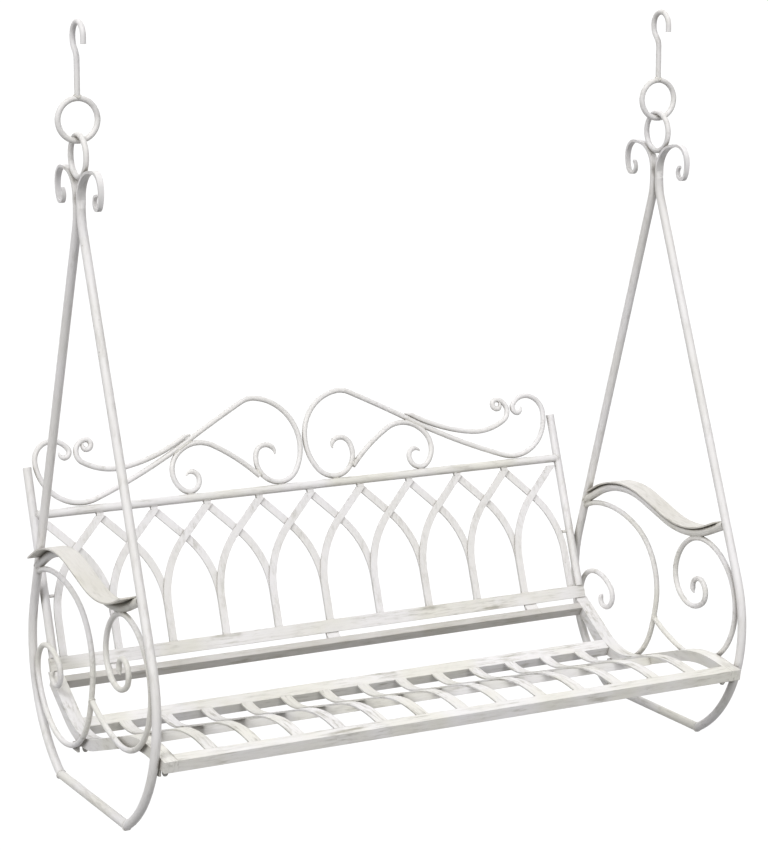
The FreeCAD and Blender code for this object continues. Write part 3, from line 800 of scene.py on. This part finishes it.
def join_rings(work, rows):
    """Adds the faces between rings of points and closes both ends."""
    for a, b in zip(rows, rows[1:]):
        for k in range(len(a)):
            n = (k + 1) % len(a)
            work.faces.new((a[k], a[n], b[n], b[k]))
    work.faces.new(rows[0][::-1])
    work.faces.new(rows[-1])


def tip(work, disc, length, side, first_bend, last_bend):
    """Adds a tapering tip that turns towards one side."""
    centre, ahead, radius = disc[:3]
    axis = ahead.cross(side).normalized()
    at = centre - ahead * TIP_OVERLAP
    step = length / TIP_RINGS
    rows = []
    for i in range(TIP_RINGS + 2):
        share = min(1.0, i / TIP_RINGS)
        reach = radius * (TIP_SNUG - TIP_THIN * share ** TIP_TAPER)
        if i > TIP_RINGS:
            reach *= TIP_END
        across = axis.cross(ahead)
        row = []
        for k in range(TIP_SIDES):
            turn = math.tau * k / TIP_SIDES
            spot = at + (axis * math.cos(turn) + across * math.sin(turn)) * reach
            row.append(work.verts.new(inside(spot)))
        rows.append(row)
        bend = first_bend + (last_bend - first_bend) * share
        ahead = Matrix.Rotation(bend * step, 3, axis) @ ahead
        at = at + ahead * (step if i < TIP_RINGS else reach * TIP_ROUND)
    join_rings(work, rows)


def rod_tips(name, rods, carriers, curl, lean, finish):
    """One piece with the tips of some rods; a lean of 0 leaves the ends on other rods as they are."""
    grounds = {carrier: ground_of(carrier) for carrier in carriers}
    work = bmesh.new()
    curled = leaned = 0
    for rod in rods:
        for disc in end_discs(rod):
            centre, ahead, radius, before = disc
            others = [ground for carrier, ground in grounds.items() if carrier != rod]
            spots = [ground.find_nearest(centre)[0] for ground in others]
            nearest = min(spots, key=lambda spot: (spot - centre).length)
            if (nearest - centre).length > radius + NEAR_ROD:
                run = (centre - before).dot(ahead)
                side = before - centre + ahead * run
                bend = 2 * side.length / run ** 2
                tip(work, disc, curl, side, bend, max(bend, CURL_BEND))
                curled += 1
            elif lean:
                side = nearest - centre
                side -= ahead * side.dot(ahead)
                tip(work, disc, lean, side, LEAN_BEND, LEAN_BEND)
                leaned += 1
    piece = make_piece(work, name, finish)
    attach(piece, "bench")
    print(name, curled, "curled", leaned, "leaned")


print("tip of", TIP_RINGS, "rings, thinned by", TIP_THIN)

# %% [markdown]
# The crest's free ends are drawn out further than those of the side scrolls, and two of its ends lean.
# The scrolls' other ends are welded on and stay as they are.
# Each tip could have its own numbers, but tips of one part look alike, so each part has one length.

# %% Tips of the crest and the scrolls
CREST_CURL = 0.016
CREST_LEAN = 0.017
SCROLL_CURL = 0.009
SCROLL_LEAN = 0.0
crest_rods = sorted(name for name in nodes if name.startswith("crest_"))
crest_carriers = crest_rods + ["back_top_rail"]
rod_tips("crest_rod_tips", crest_rods, crest_carriers, CREST_CURL, CREST_LEAN, crest_paint)
for hand in ("left", "right"):
    scrolls = [hand + "_front_scroll", hand + "_rear_scroll"]
    carriers = scrolls + [hand + end for end in ("_front_leg", "_rear_leg", "_armrest_tube")]
    rod_tips(hand + "_scroll_tips", scrolls, carriers, SCROLL_CURL, SCROLL_LEAN, rod_paint)

# %% [markdown]
# Under each corner of the seat, a bolt ends in a cap nut: six flats and a dome over the thread.
# The frame has a plain nut there, which is enough to hold the seat but looks too small and too sharp.
# A cut cylinder with a ball on it would leave a hard line, so the cap is turned from one outline,
# whose rings are six-sided at the bracket and round at the dome.

# %% Cap nuts
NUT_FLATS = 0.013
NUT_LAND = 0.006
NUT_CORNER = 0.565 * NUT_FLATS
TOP_CHAMFER = 0.0006
LOW_CHAMFER = 0.0012
NECK_IN = 0.0003
NECK_H = 0.0002
DOME_R = 0.0058
DOME_H = 0.0090
DOME_FULL = 0.8
DOME_RINGS = 7
CAP_SIDES = 36
SHARP_EDGE = 38


def flats_reach(turn):
    """Distance from the bolt's axis to the six-sided outline, its corners cut back a little."""
    reach = NUT_FLATS / 2 / math.cos((turn + math.pi / 6) % (math.pi / 3) - math.pi / 6)
    return min(reach, NUT_CORNER)


def cap_rings():
    """Each ring's depth under the bracket, its reach where it is round, and its share of the six sides."""
    half = NUT_FLATS / 2
    rings = [(0.0, half, 0.0), (TOP_CHAMFER, half, 1.0), (NUT_LAND - LOW_CHAMFER, half, 1.0),
             (NUT_LAND, half - NECK_IN, 0.0), (NUT_LAND + NECK_H, DOME_R, 0.0)]
    for k in range(1, DOME_RINGS + 1):
        lean = math.pi / 2 * k / (DOME_RINGS + 0.5)
        depth = NUT_LAND + NECK_H + DOME_H * math.sin(lean)
        rings.append((depth, DOME_R * math.cos(lean) ** DOME_FULL, 0.0))
    return rings


def cap_nut(work, axis_x, axis_y, top):
    """Adds one cap nut, hanging from its top, to a mesh in the making."""
    rows = []
    for depth, reach, sixth in cap_rings():
        row = []
        for k in range(CAP_SIDES):
            turn = math.tau * k / CAP_SIDES
            r = reach * (1 - sixth) + flats_reach(turn) * sixth
            spot = (axis_x + r * math.cos(turn), axis_y + r * math.sin(turn), top - depth)
            row.append(work.verts.new(spot))
        rows.append(row)
    join_rings(work, rows)


nut_points = [v.co for v in nodes["seat_nuts"].data.vertices]
middle_y = middle(nut_points).y
caps = bmesh.new()
for on_right in (False, True):
    for at_rear in (False, True):
        own = [p for p in nut_points if (p.x > 0) == on_right and (p.y > middle_y) == at_rear]
        ends = [(min(p[i] for p in own), max(p[i] for p in own)) for i in range(3)]
        cap_nut(caps, sum(ends[0]) / 2, sum(ends[1]) / 2, ends[2][1])
cap_nuts = make_piece(caps, "seat_cap_nuts", zinc)
cap_nuts.data.set_sharp_from_angle(angle=math.radians(SHARP_EDGE))
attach(cap_nuts, "bench")
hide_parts("seat_nuts")
print("cap nuts", len(cap_nuts.data.vertices), "points")
